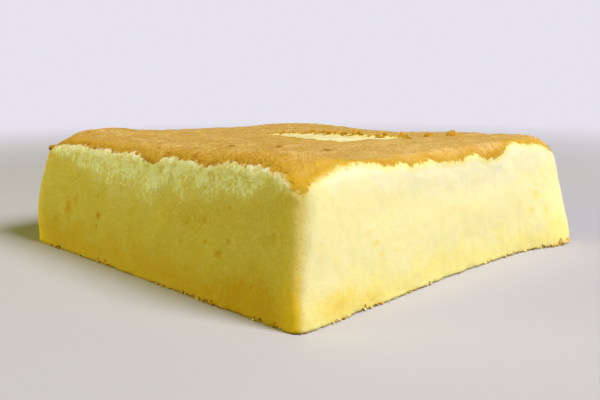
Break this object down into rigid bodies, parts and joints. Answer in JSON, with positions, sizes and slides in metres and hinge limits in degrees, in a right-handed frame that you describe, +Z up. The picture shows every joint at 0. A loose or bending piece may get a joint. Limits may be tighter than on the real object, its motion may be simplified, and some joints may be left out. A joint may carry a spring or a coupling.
{
  "type": "chiffon cake",
  "caption": "Square uncut chiffon cake with pale yellow crumb walls and a golden crust that droops at the corners and is torn on top.",
  "frame": {"origin": "middle of the cake's foot, at the level it stands on", "axes": "+Z up. The shaded wall in the picture faces -Y, the lit wall faces +X and the near corner is between them"},
  "size_m": [0.214, 0.2042, 0.061],
  "materials": {
    "sponge": "matt, porous baked crumb with a browned crust on top"
  },
  "bodies": {
    "root": {"chiffon_cake": "sponge"}
  },
  "joints": []
}
